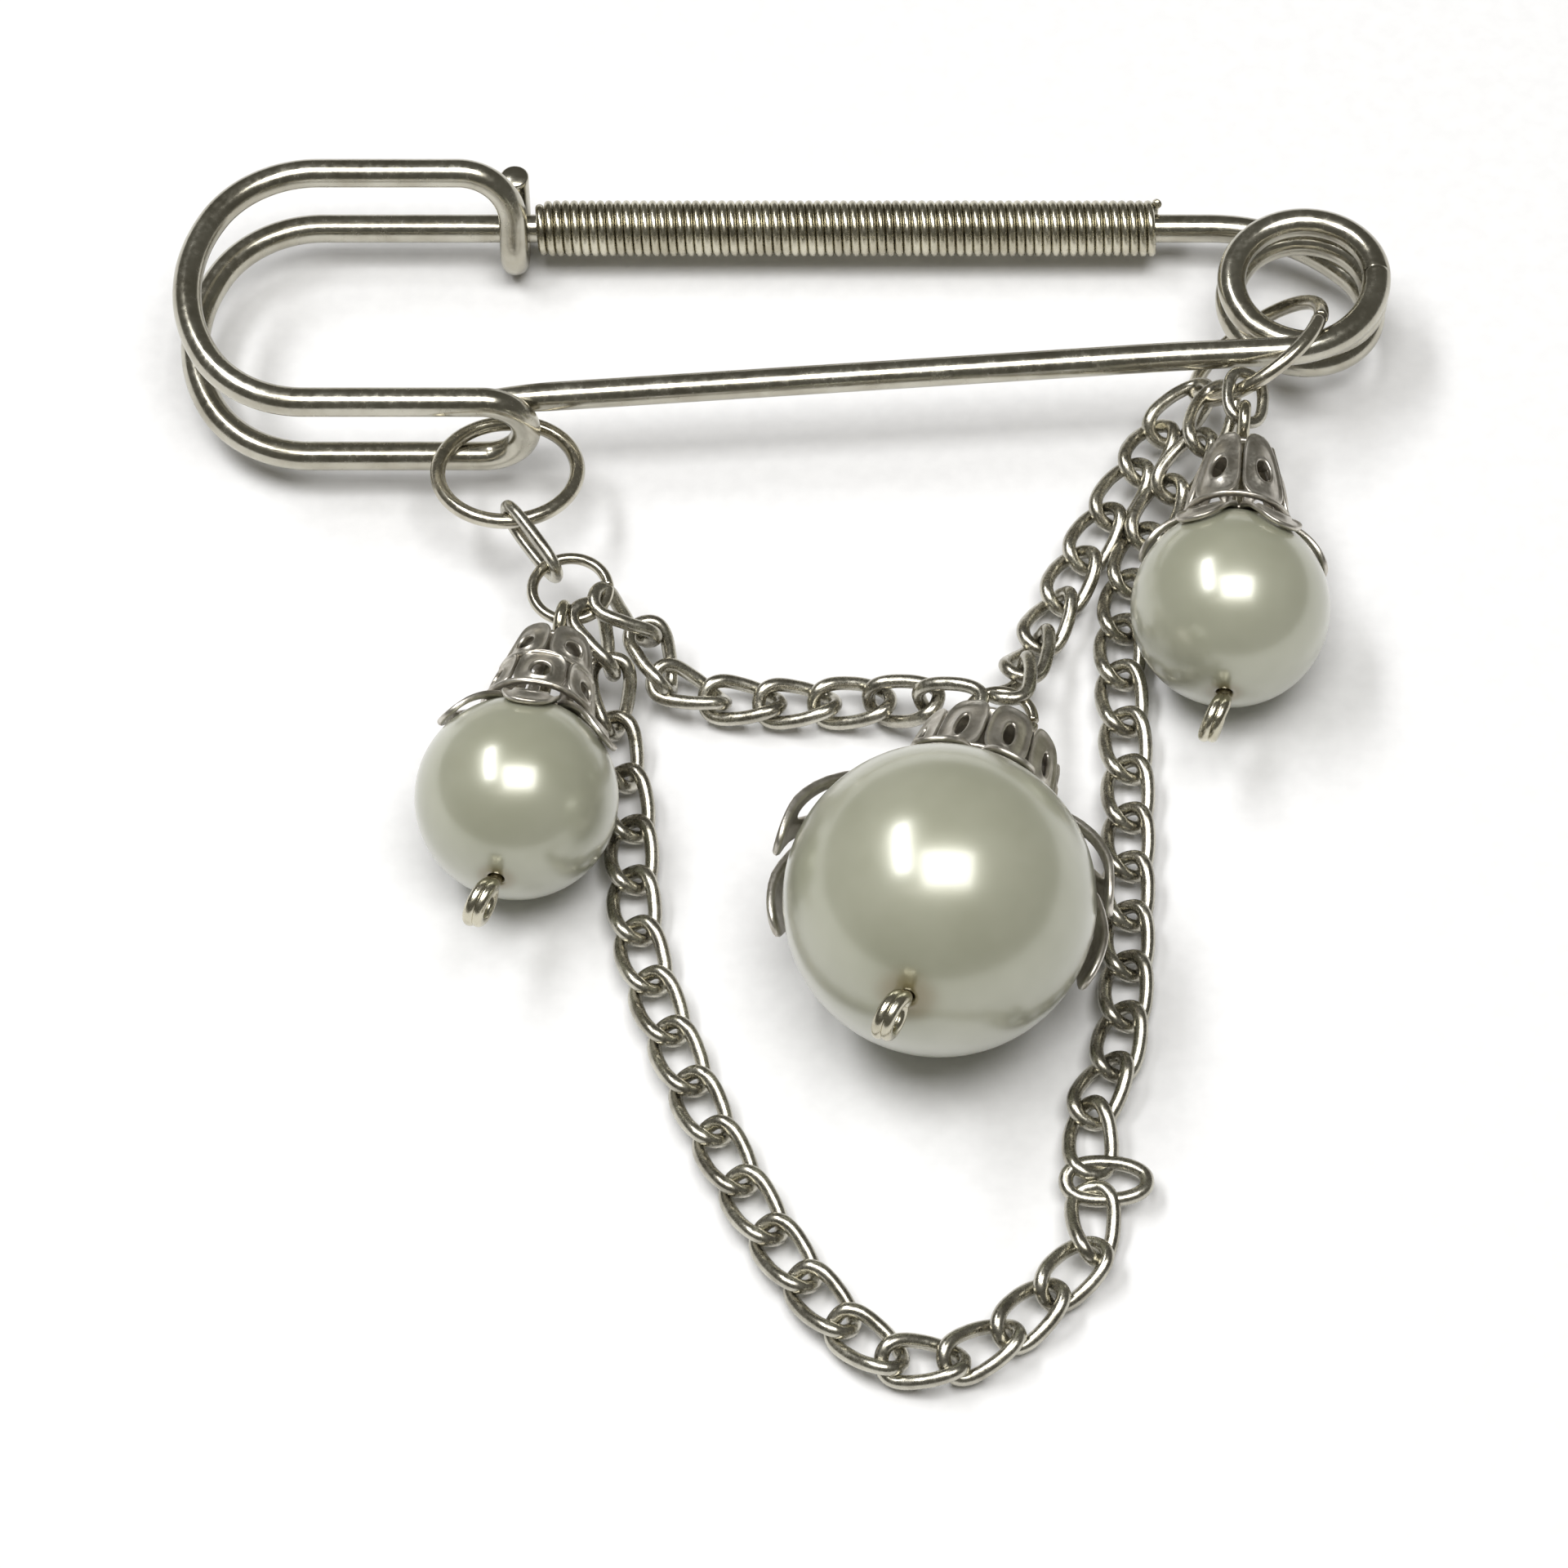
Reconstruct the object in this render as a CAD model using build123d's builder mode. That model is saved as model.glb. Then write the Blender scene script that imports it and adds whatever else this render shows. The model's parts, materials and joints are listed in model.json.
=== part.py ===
from build123d import *
import os
from math import asin, atan2, ceil, cos, degrees, radians, sin

# Kilt-pin brooch with three imitation pearls and curb chains, lying on its back.
# +X runs along the bar towards the spring coil, +Y from the chains towards the bar,
# +Z out of the front. The origin is under the middle of the whole brooch.
# All sizes are in millimetres.

os.makedirs("parts", exist_ok=True)

# Sizes and places below are measured from the pin's own layout lines; this step moves
# every piece so that the origin is under the middle of the whole brooch.
TO_FRAME = (0, -0.449, 0.032)

# Pin wire: one length of wire makes bar, catch, spring coil and needle.
WIRE = 1.8
PIN_LENGTH = 76.0
BAR_Y = 39.5
BAR_Z = 3.0

# Catch: an oval loop of the wire at the rear and a second one in front of it.
CATCH_HEIGHT = 18.1
CATCH_DEPTH = 5.5
CATCH_CORNER_R = 7.2
CATCH_SIDE_R = 11.0
NOSE_X = -15.9

# Wrap: the wire's front end comes down and goes round the bar.
WRAP_X = -17.2
WRAP_R = 2.1
WRAP_BEND_R = 3.4
WRAP_TAIL = 2.6

# Spring coil, needle root and needle.
COIL_X = 32.6
COIL_Y = 32.6
COIL_R = 4.5
COIL_PITCH = 1.86
COIL_TURNS = 2
COIL_LIFT = 0.28
COIL_GAP = 0.08
BAR_LEAD_ANGLE = 48.0
ROOT_R = 6.3
ROOT_GAP = 0.16
ROOT_RISE = 0.26
NEEDLE_SLOPE = 3.6
NEEDLE_DROP = 1.3
ROOT_RUN = 7.2
NEEDLE_LENGTH = 46.0
POINT_LENGTH = 7.5
POINT_R = 0.2

# Wound sleeve on the bar: turns of fine wire that touch, as a ridged tube.
SLEEVE_START_X = -15.9
SLEEVE_WIRE = 0.55
SLEEVE_PITCH = 0.556
SLEEVE_TURNS = 72
SLEEVE_MEAN_R = 1.525
SLEEVE_RIDGE_R = 0.29
SLEEVE_WEB = 0.24

# Jump rings and the small rings that hold the drops and chains.
JUMP_WIRE = 0.95
LEFT_JUMP_R = 4.3
LEFT_JUMP_AT = Vector(-17.0, 18.75, 4.95)
LEFT_JUMP_AXIS = Vector(0, 0.156, 0.988)
RIGHT_JUMP_R = 4.7
RIGHT_JUMP_AT = Vector(29.55, 27.82, 5.34)
RIGHT_JUMP_AXIS = Vector(-0.585, 0.43, 0.688)
HANGER_WIRE = 0.7
SPLIT_ANGLE = 357

# Curb chain links.
LINK_WIRE = 0.75
LINK_INNER = 3.9
LINK_WIDTH = 3.2
LINK_PITCH = 3.6
LINK_ROLL = 45.0
TWIST_LINKS = 4
HOOK_GAP = 0.06
CONNECTOR_GAP = 0.15

# Pearls and their pins. Distances along a drop are measured from the pearl's centre.
SMALL_PEARL_R = 6.0
LARGE_PEARL_R = 9.0
PEARL_HOLE_R = 0.46
PIN_R = 0.4
EYE_R = 1.15
EYE_STAND_OFF = 0.15
CAP_GAP = 0.12
CAP_THICKNESS = 0.4
CAP_HOLE_R = 0.45

SMALL_EYE_AT = 13.3
LARGE_EYE_AT = 14.7
SMALL_CROWN = (6.0, 11.6)
LARGE_CROWN = (9.0, 13.0)
SMALL_CROWN_R = (3.2, 1.6)
LARGE_CROWN_R = (4.0, 4.6)
CROWN_WALL = 0.4
CROWN_SLOTS = 8
CROWN_SLOT = 0.9
CAP_CENTRE_R = 0.42
SMALL_PETALS = (0.86,) * 6
LARGE_PETALS = (0.98, 0.98, 0.98, 0.98, 0.98, 0.6, 0.6, 0.97)
PETAL_WIDTH = 0.3

LEFT_PEARL_AT = Vector(-15.7, -5.9, 6.1)
LEFT_PEARL_AXIS = Vector(0.173, 0.98, -0.07)
RIGHT_PEARL_AT = Vector(26.85, 7.7, 6.1)
CENTRE_PEARL_AT = Vector(8.9, -15.1, 9.6)
CENTRE_PEARL_AXIS = Vector(0.23, 0.914, -0.33)
LEFT_RING_R = 2.3
CENTRE_RING_R = 2.0

# Places round the level hanger rings, as angles from +X, and on the jump rings, as
# points towards which the hooked piece lies.
LOWER_START_ANGLE = 298.0
UPPER_START_ANGLE = 336.0
CENTRE_LEFT_ANGLE = 150.0
CENTRE_RIGHT_ANGLE = 72.0
LEFT_HOOK_LEAN = Vector(-15.0, 5.0, 5.0)
RIGHT_DROP_LEAN = Vector(30.5, 10.0, 6.0)
UPPER_END_LEAN = Vector(22.5, 23.0, 1.3)
LOWER_END_LEAN = Vector(24.8, 19.8, 5.2)

# Chain routes between the hooks, link centres 1.3 above the table.
TABLE_Z = 1.35
UPPER_LEFT_ROUTE = [
    (-8.4, 6.2, 2.8),
    (-6.2, 4.7, 1.8),
    (-2.0, 4.0, 1.4),
    (3.0, 3.9, 1.45),
    (7.3, 3.7, 2.1),
]
UPPER_RIGHT_ROUTE = [
    (14.8, 6.6, 2.2),
    (16.4, 10.4, 1.5),
    (17.9, 13.8, TABLE_Z),
    (19.8, 17.4, 1.6),
    (22.1, 21.1, 2.3),
]
LOWER_LEFT_ROUTE = [
    (-10.3, 1.6, 1.9),
    (-9.3, -3.3, TABLE_Z),
    (-8.8, -11.6, TABLE_Z),
    (-6.8, -18.8, TABLE_Z),
    (-4.2, -25.5, TABLE_Z),
    (-0.9, -32.1, TABLE_Z),
    (2.9, -37.6, TABLE_Z),
    (7.0, -40.6, TABLE_Z),
    (11.2, -39.6, TABLE_Z),
    (14.5, -36.6, TABLE_Z),
]
LOWER_RIGHT_ROUTE = [
    (18.4, -23.0, 1.4),
    (19.9, -17.1, TABLE_Z),
    (20.3, -9.5, TABLE_Z),
    (20.6, 0.0, TABLE_Z),
    (20.5, 9.0, TABLE_Z),
    (22.1, 15.6, 1.8),
    (24.5, 19.6, 3.6),
]
KINK_AT = Vector(18.4, -28.9, 1.4)
KINK_HOOK_X = -0.85
KINK_BEFORE_WAY = Vector(-1, 0, 0.65)
KINK_AFTER_WAY = Vector(1, 0, 0.65)


def finish(piece, name):
    """Bring a finished piece into the brooch's own frame, label it and write its file."""
    placed = piece.part.moved(Location(TO_FRAME))
    placed.label = name
    export_step(placed, f"parts/{name}.step")


def add_at(master, plane, name):
    """Put a piece that was made at the origin on its own plane and write it."""
    with BuildPart() as placed:
        with Locations(plane.location):
            add(master.part)
    finish(placed, name)


def wire_sweep(path, radius):
    """Round wire along the path, inside the caller's BuildPart."""
    with BuildSketch(Plane(origin=path.wire() @ 0, z_dir=path.wire() % 0)) as section:
        Circle(radius)
    sweep(sections=section.sketch, path=path.wire())


def oval_points(height_z):
    """Points where the catch's oval passes from one arc or line to the next."""
    half = CATCH_HEIGHT / 2
    centre_y = BAR_Y - half
    reach = half - CATCH_CORNER_R
    swing = asin(reach / (CATCH_SIDE_R - CATCH_CORNER_R))
    left_x = -PIN_LENGTH / 2 + WIRE / 2
    side_x = left_x + CATCH_SIDE_R
    corner_x = side_x - (CATCH_SIDE_R - CATCH_CORNER_R) * cos(swing)
    join_x = side_x - CATCH_SIDE_R * cos(swing)
    join_y = CATCH_SIDE_R * sin(swing)
    top = Vector(corner_x, BAR_Y, height_z)
    upper_join = Vector(join_x, centre_y + join_y, height_z)
    side = Vector(left_x, centre_y, height_z)
    lower_join = Vector(join_x, centre_y - join_y, height_z)
    bottom = Vector(corner_x, BAR_Y - CATCH_HEIGHT, height_z)
    return top, upper_join, side, lower_join, bottom


def build_bar_and_catch():
    """Bar, rear loop, nose, front loop and the wrap, as one wire."""
    rise = BAR_Y - COIL_Y
    lead = radians(BAR_LEAD_ANGLE)
    lead_r = (rise - COIL_R * cos(lead)) / (1 - cos(lead))
    coil_side = Vector(COIL_X + COIL_R, COIL_Y, BAR_Z + COIL_LIFT)
    coil_leave = Vector(COIL_X + COIL_R * sin(lead), COIL_Y + COIL_R * cos(lead), BAR_Z)
    bar_end = Vector(coil_leave.X - lead_r * sin(lead), BAR_Y, BAR_Z)
    rear = oval_points(BAR_Z)
    front_z = BAR_Z + CATCH_DEPTH
    front = oval_points(front_z)
    nose_x = NOSE_X - CATCH_DEPTH / 2
    low_y = BAR_Y - CATCH_HEIGHT
    slant = asin(WRAP_R / CATCH_DEPTH)
    down = Vector(0, -sin(slant), -cos(slant))
    run = WRAP_R * cos(slant) / sin(slant) - WRAP_BEND_R
    bend_start = Vector(WRAP_X - WRAP_BEND_R, BAR_Y, front_z)
    bend_end = bend_start + Vector(WRAP_BEND_R, 0, 0) + down * WRAP_BEND_R
    loop_start = bend_end + down * run
    loop_under = Vector(WRAP_X, BAR_Y, BAR_Z - WRAP_R)
    loop_back = Vector(WRAP_X, BAR_Y + WRAP_R, BAR_Z)
    with BuildPart() as bar:
        with BuildLine() as path:
            TangentArc(coil_leave, coil_side, tangent=(cos(lead), -sin(lead), 0))
            TangentArc(coil_leave, bar_end, tangent=(-cos(lead), sin(lead), 0))
            Line(bar_end, rear[0])
            TangentArc(rear[0], rear[1], tangent=(-1, 0, 0))
            ThreePointArc(rear[1], rear[2], rear[3])
            TangentArc(rear[4], rear[3], tangent=(-1, 0, 0))
            Line(rear[4], (nose_x, low_y, BAR_Z))
            TangentArc((nose_x, low_y, BAR_Z), (nose_x, low_y, front_z), tangent=(1, 0, 0))
            Line((nose_x, low_y, front_z), front[4])
            TangentArc(front[4], front[3], tangent=(-1, 0, 0))
            ThreePointArc(front[3], front[2], front[1])
            TangentArc(front[0], front[1], tangent=(-1, 0, 0))
            Line(front[0], bend_start)
            TangentArc(bend_start, bend_end, tangent=(1, 0, 0))
            Line(bend_end, loop_start)
            TangentArc(loop_start, loop_under, tangent=down)
            TangentArc(loop_under, loop_back, tangent=(0, 1, 0))
            Line(loop_back, loop_back + Vector(0, 0, WRAP_TAIL))
        wire_sweep(path, WIRE / 2)
    finish(bar, "bar_and_catch")


def build_spring_coil():
    """The closed turns between the bar and the needle root."""
    with BuildPart() as coil:
        with BuildLine() as path:
            Helix(
                pitch=COIL_PITCH,
                height=COIL_PITCH * COIL_TURNS,
                radius=COIL_R,
                center=(COIL_X, COIL_Y - COIL_GAP, BAR_Z + COIL_LIFT),
                lefthand=True,
            )
        wire_sweep(path, WIRE / 2)
    finish(coil, "spring_coil")


def needle_line():
    """Where the needle root's arc and its straight run end, and the needle's direction."""
    root_z = BAR_Z + COIL_LIFT + COIL_PITCH * COIL_TURNS
    turn = radians(90 - NEEDLE_SLOPE)
    centre = Vector(COIL_X + COIL_R - ROOT_R, COIL_Y - ROOT_GAP, root_z)
    arc_end = centre + Vector(ROOT_R * cos(turn), -ROOT_R * sin(turn), ROOT_RISE)
    slope = radians(NEEDLE_SLOPE)
    drop = radians(NEEDLE_DROP)
    flat = Vector(-cos(slope), -sin(slope), 0)
    run_end = arc_end + flat * ROOT_RUN
    along = Vector(-cos(slope) * cos(drop), -sin(slope) * cos(drop), -sin(drop))
    return arc_end, run_end, flat, along


def build_needle_root():
    """The last quarter turn of the coil and the start of the straight shank."""
    arc_end, run_end, flat, _ = needle_line()
    start = Vector(COIL_X + COIL_R, COIL_Y - ROOT_GAP, arc_end.Z - ROOT_RISE)
    slope = radians(NEEDLE_SLOPE)
    with BuildPart() as root:
        with BuildLine() as path:
            TangentArc(arc_end, start, tangent=(cos(slope), sin(slope), 0))
            Line(arc_end, run_end)
        wire_sweep(path, WIRE / 2)
    finish(root, "needle_root")


def build_needle():
    """Straight shank with a long ground point."""
    _, run_end, _, along = needle_line()
    shank = NEEDLE_LENGTH - POINT_LENGTH
    with BuildPart() as needle:
        Cylinder(WIRE / 2, shank, align=(Align.CENTER, Align.CENTER, Align.MIN))
        with Locations((0, 0, shank)):
            Cone(WIRE / 2, POINT_R, POINT_LENGTH, align=(Align.CENTER, Align.CENTER, Align.MIN))
        with Locations((0, 0, NEEDLE_LENGTH)):
            Sphere(POINT_R)
    add_at(needle, Plane(origin=run_end, z_dir=along), "needle")


def build_wound_sleeve():
    """Fine wire wound round the bar; its touching turns act as one ridged tube."""
    length = SLEEVE_TURNS * SLEEVE_PITCH
    with BuildPart() as sleeve:
        with BuildSketch(Plane.XZ):
            with Locations((length / 2, SLEEVE_MEAN_R)):
                Rectangle(length - SLEEVE_PITCH, SLEEVE_WEB)
                with GridLocations(SLEEVE_PITCH, 1, SLEEVE_TURNS, 1):
                    Circle(SLEEVE_RIDGE_R)
        revolve(axis=Axis.X)
    add_at(sleeve, Plane(origin=(SLEEVE_START_X, BAR_Y, BAR_Z)), "wound_sleeve")


def build_ring(name, centre, axis, radius, wire):
    """Jump ring: a round wire ring with a fine split."""
    with BuildPart() as ring:
        Torus(radius, wire / 2, major_angle=SPLIT_ANGLE)
    add_at(ring, Plane(origin=centre, z_dir=axis), name)


def link_master(inner_length):
    """One flat oval chain link about the origin, its length along X."""
    bend_r = (LINK_WIDTH - LINK_WIRE) / 2
    straight = inner_length + LINK_WIRE - 2 * bend_r
    with BuildPart() as link:
        with BuildLine() as path:
            Line((-straight / 2, -bend_r), (straight / 2, -bend_r))
            TangentArc((straight / 2, -bend_r), (straight / 2, bend_r), tangent=(1, 0))
            Line((straight / 2, bend_r), (-straight / 2, bend_r))
            TangentArc((-straight / 2, bend_r), (-straight / 2, -bend_r), tangent=(-1, 0))
        wire_sweep(path, LINK_WIRE / 2)
    return link


def build_link(name, plane, inner_length=LINK_INNER):
    """A chain link on its own plane, its length along the plane's X."""
    add_at(link_master(inner_length), plane, name)


def ring_point(centre, axis, radius, lean):
    """The point of a ring's wire that lies towards another point."""
    across = lean - centre
    flat = across - axis * across.dot(axis)
    return centre + flat.normalized() * radius


def rolled_plane(origin, along, roll):
    """A link's plane: X along the chain, turned about it by the roll angle."""
    level = Vector(0, 0, 1).cross(along).normalized()
    up = along.cross(level).normalized()
    lean = up * cos(radians(roll)) + level * sin(radians(roll))
    return Plane(origin=origin, x_dir=along, z_dir=lean)


def build_connector(name, start, start_wire, start_way, end, end_wire, end_way):
    """A link just long enough to join two wires, square to both as far as it can be."""
    span = end - start
    along = span.normalized()
    inner = span.length + (start_wire + end_wire) / 2 + 2 * CONNECTOR_GAP
    middle = start + span * 0.5 + along * (end_wire - start_wire) / 4
    if start_way.dot(end_way) < 0:
        end_way = end_way * -1
    normal = start_way + end_way
    normal = normal - along * normal.dot(along)
    build_link(name, Plane(origin=middle, x_dir=along, z_dir=normal), inner)


def hook_plane(point, wire, wire_way, ahead):
    """Plane of a chain's end link, hooked square on a wire and pointing ahead."""
    way = ahead - point
    way = (way - wire_way * way.dot(wire_way)).normalized()
    centre = point + way * ((LINK_INNER - wire) / 2 - HOOK_GAP)
    return Plane(origin=centre, x_dir=way, z_dir=wire_way)


def spare_roll(plane, along, usual):
    """Roll still needed, within a quarter turn, to bring the usual roll to a plane's."""
    level = Vector(0, 0, 1).cross(along).normalized()
    up = along.cross(level)
    roll = degrees(atan2(plane.z_dir.dot(level), plane.z_dir.dot(up)))
    return (roll - usual + 90) % 180 - 90


def chain_planes(first, points, last):
    """Planes of a chain's links: two hooked end links and those between them."""
    begin = first.origin + first.x_dir * LINK_PITCH / 2
    end = last.origin + last.x_dir * LINK_PITCH / 2
    route = Edge.make_spline([begin, *[Vector(point) for point in points], end])
    count = ceil(route.length / LINK_PITCH)
    joints = [route @ (i / count) for i in range(count + 1)]
    first_spare = spare_roll(first, first.x_dir, LINK_ROLL + 90)
    last_spare = spare_roll(last, last.x_dir * -1, LINK_ROLL + 90 * (count % 2))
    planes = [first]
    for i in range(count):
        along = (joints[i + 1] - joints[i]).normalized()
        from_first = max(0, 1 - (i + 1) / TWIST_LINKS)
        from_last = max(0, 1 - (count - i) / TWIST_LINKS)
        roll = LINK_ROLL + 90 * (i % 2) + first_spare * from_first + last_spare * from_last
        planes.append(rolled_plane((joints[i] + joints[i + 1]) / 2, along, roll))
    planes.append(last)
    return planes


def build_pearl(name, plane, radius):
    """Drilled bead that turns on its eye pin."""
    with BuildPart() as pearl:
        Sphere(radius)
        Cylinder(PEARL_HOLE_R, 2 * radius + 1, mode=Mode.SUBTRACT)
    add_at(pearl, plane, name)


def build_eye_pin(name, plane, radius, eye_at):
    """Straight pin through the pearl with an eye bent at each end."""
    low_eye = -(radius + EYE_STAND_OFF + EYE_R + PIN_R)
    low_end = low_eye + EYE_R
    high_end = eye_at - EYE_R
    with BuildPart() as pin:
        with Locations((0, 0, low_end)):
            Cylinder(PIN_R, high_end - low_end, align=(Align.CENTER, Align.CENTER, Align.MIN))
        with Locations((0, 0, low_eye), (0, 0, eye_at)):
            Torus(EYE_R, PIN_R, rotation=(0, 90, 0))
    add_at(pin, plane, name)


def build_petal_cap(name, plane, radius, petals):
    """Thin cap that hugs the pearl, its rim cut into petals."""
    inner = radius + CAP_GAP
    outer = inner + CAP_THICKNESS
    with BuildPart() as cap:
        Sphere(outer)
        Sphere(inner, mode=Mode.SUBTRACT)
        with BuildSketch() as flower:
            Circle(outer * CAP_CENTRE_R)
            for i, reach in enumerate(petals):
                angle = 360 / len(petals) * (i + 0.5)
                with PolarLocations(outer * reach / 2, 1, start_angle=angle):
                    Ellipse(outer * reach / 2, outer * PETAL_WIDTH)
            Circle(CAP_HOLE_R, mode=Mode.SUBTRACT)
        extrude(amount=outer, mode=Mode.INTERSECT)
    add_at(cap, plane, name)


def build_crown(name, plane, span, radii):
    """Slotted collar above the cap, closed at its top round the pin."""
    low, high = span
    low_r, high_r = radii
    height = high - low
    with BuildPart() as crown:
        with Locations((0, 0, low)):
            Cone(low_r, high_r, height, align=(Align.CENTER, Align.CENTER, Align.MIN))
            Cone(
                low_r - CROWN_WALL,
                high_r - CROWN_WALL,
                height - CROWN_WALL,
                align=(Align.CENTER, Align.CENTER, Align.MIN),
                mode=Mode.SUBTRACT,
            )
        with PolarLocations(low_r, CROWN_SLOTS):
            with Locations((0, 0, low + height / 2)):
                Box(2 * low_r, CROWN_SLOT, height * 0.5, mode=Mode.SUBTRACT)
        with Locations((0, 0, high)):
            Cylinder(CAP_HOLE_R, 2 * height, mode=Mode.SUBTRACT)
    add_at(crown, plane, name)


def drop_plane(centre, axis):
    """Plane at a pearl's centre: Z towards its hook, X level."""
    return Plane(origin=centre, x_dir=axis.cross(Vector(0, 0, 1)), z_dir=axis)


def build_drop(side, plane, radius, eye_at, petals, crown_span, crown_radii):
    """Pearl, eye pin, petal cap and crown of one drop."""
    build_pearl(f"pearl_{side}", plane, radius)
    build_eye_pin(f"eye_pin_{side}", plane, radius, eye_at)
    build_petal_cap(f"petal_cap_{side}", plane, radius, petals)
    build_crown(f"crown_{side}", plane, crown_span, crown_radii)


def write_chain(prefix, planes, per_node):
    """Write a chain's links, a few to a node, numbered from its start."""
    master = link_master(LINK_INNER)
    groups = [planes[i : i + per_node] for i in range(0, len(planes), per_node)]
    for number, group in enumerate(groups, 1):
        with BuildPart() as links:
            with Locations([plane.location for plane in group]):
                add(master.part)
        finish(links, f"{prefix}_{number:02d}")


def eye_hook(eye_at, wire):
    """Distance along a drop at which a wire sits in its upper eye."""
    return eye_at + EYE_R - PIN_R - wire / 2 - HOOK_GAP


def level_ring_centre(hook, axis, radius):
    """Centre of a level ring that passes through a drop's hook point."""
    return hook + Vector(axis.X, axis.Y, 0).normalized() * radius


def on_ring(centre, radius, angle):
    """Point of a level ring's wire, at an angle from +X, and the wire's direction there."""
    out = Vector(cos(radians(angle)), sin(radians(angle)), 0)
    return centre + out * radius, Vector(0, 0, 1).cross(out)


def on_jump_ring(centre, axis, radius, lean):
    """The point of a tilted ring's wire towards a place, and the wire's direction there."""
    axis = axis.normalized()
    point = ring_point(centre, axis, radius, lean)
    return point, axis.cross(point - centre).normalized()


build_bar_and_catch()
build_spring_coil()
build_needle_root()
build_needle()
build_wound_sleeve()

build_ring("left_jump_ring", LEFT_JUMP_AT, LEFT_JUMP_AXIS, LEFT_JUMP_R, JUMP_WIRE)
build_ring("right_jump_ring", RIGHT_JUMP_AT, RIGHT_JUMP_AXIS, RIGHT_JUMP_R, JUMP_WIRE)
left_jump = (LEFT_JUMP_AT, LEFT_JUMP_AXIS, LEFT_JUMP_R)
right_jump = (RIGHT_JUMP_AT, RIGHT_JUMP_AXIS, RIGHT_JUMP_R)

left_axis = LEFT_PEARL_AXIS.normalized()
left_drop_hook = LEFT_PEARL_AT + left_axis * eye_hook(SMALL_EYE_AT, HANGER_WIRE)
left_ring_at = level_ring_centre(left_drop_hook, left_axis, LEFT_RING_R)
build_ring("left_hanger_ring", left_ring_at, Vector(0, 0, 1), LEFT_RING_R, HANGER_WIRE)
left_hook, left_hook_way = on_jump_ring(*left_jump, LEFT_HOOK_LEAN)
away = left_hook - left_ring_at
left_top, left_top_way = on_ring(left_ring_at, LEFT_RING_R, degrees(atan2(away.Y, away.X)))
build_connector(
    "left_connector", left_hook, JUMP_WIRE, left_hook_way, left_top, HANGER_WIRE, left_top_way
)

right_hook, right_hook_way = on_jump_ring(*right_jump, RIGHT_DROP_LEAN)
right_axis = (right_hook - RIGHT_PEARL_AT).normalized()
right_eye = RIGHT_PEARL_AT + right_axis * (SMALL_EYE_AT + EYE_R)
right_eye_way = right_axis.cross(right_axis.cross(Vector(0, 0, 1))).normalized()
build_connector(
    "right_connector", right_eye, 2 * PIN_R, right_eye_way, right_hook, JUMP_WIRE, right_hook_way
)

centre_axis = CENTRE_PEARL_AXIS.normalized()
centre_drop_hook = CENTRE_PEARL_AT + centre_axis * eye_hook(LARGE_EYE_AT, HANGER_WIRE)
centre_ring_at = level_ring_centre(centre_drop_hook, centre_axis, CENTRE_RING_R)
build_ring("centre_hanger_ring", centre_ring_at, Vector(0, 0, 1), CENTRE_RING_R, HANGER_WIRE)

small = (SMALL_PEARL_R, SMALL_EYE_AT, SMALL_PETALS, SMALL_CROWN, SMALL_CROWN_R)
large = (LARGE_PEARL_R, LARGE_EYE_AT, LARGE_PETALS, LARGE_CROWN, LARGE_CROWN_R)
build_drop("left", drop_plane(LEFT_PEARL_AT, left_axis), *small)
build_drop("right", drop_plane(RIGHT_PEARL_AT, right_axis), *small)
build_drop("centre", drop_plane(CENTRE_PEARL_AT, centre_axis), *large)

upper_start = on_ring(left_ring_at, LEFT_RING_R, UPPER_START_ANGLE)
upper_middle_left = on_ring(centre_ring_at, CENTRE_RING_R, CENTRE_LEFT_ANGLE)
upper_middle_right = on_ring(centre_ring_at, CENTRE_RING_R, CENTRE_RIGHT_ANGLE)
upper_end = on_jump_ring(*right_jump, UPPER_END_LEAN)
upper_left = chain_planes(
    hook_plane(upper_start[0], HANGER_WIRE, upper_start[1], Vector(UPPER_LEFT_ROUTE[0])),
    UPPER_LEFT_ROUTE,
    hook_plane(upper_middle_left[0], HANGER_WIRE, upper_middle_left[1], Vector(UPPER_LEFT_ROUTE[-1])),
)
upper_right = chain_planes(
    hook_plane(upper_middle_right[0], HANGER_WIRE, upper_middle_right[1], Vector(UPPER_RIGHT_ROUTE[0])),
    UPPER_RIGHT_ROUTE,
    hook_plane(upper_end[0], JUMP_WIRE, upper_end[1], Vector(UPPER_RIGHT_ROUTE[-1])),
)

kink_side = (LINK_WIDTH - LINK_WIRE) / 2
kink_before = KINK_AT + Vector(KINK_HOOK_X, -kink_side, 0)
kink_after = KINK_AT + Vector(KINK_HOOK_X, kink_side, 0)
lower_start = on_ring(left_ring_at, LEFT_RING_R, LOWER_START_ANGLE)
lower_end = on_jump_ring(*right_jump, LOWER_END_LEAN)
lower_left = chain_planes(
    hook_plane(lower_start[0], HANGER_WIRE, lower_start[1], Vector(LOWER_LEFT_ROUTE[0])),
    LOWER_LEFT_ROUTE,
    hook_plane(kink_before, LINK_WIRE, KINK_BEFORE_WAY.normalized(), kink_before - Vector(0, 1, 0)),
)
lower_right = chain_planes(
    hook_plane(kink_after, LINK_WIRE, KINK_AFTER_WAY.normalized(), kink_after + Vector(0, 1, 0)),
    LOWER_RIGHT_ROUTE,
    hook_plane(lower_end[0], JUMP_WIRE, lower_end[1], Vector(LOWER_RIGHT_ROUTE[-1])),
)
lower = [*lower_left, Plane(origin=KINK_AT), *lower_right]
write_chain("upper_left_link", upper_left, 1)
write_chain("upper_right_link", upper_right, 1)
write_chain("lower_chain_links", lower, 2)
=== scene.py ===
import json
from math import asin, atan2, cos, degrees, pi, radians, sin

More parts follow.
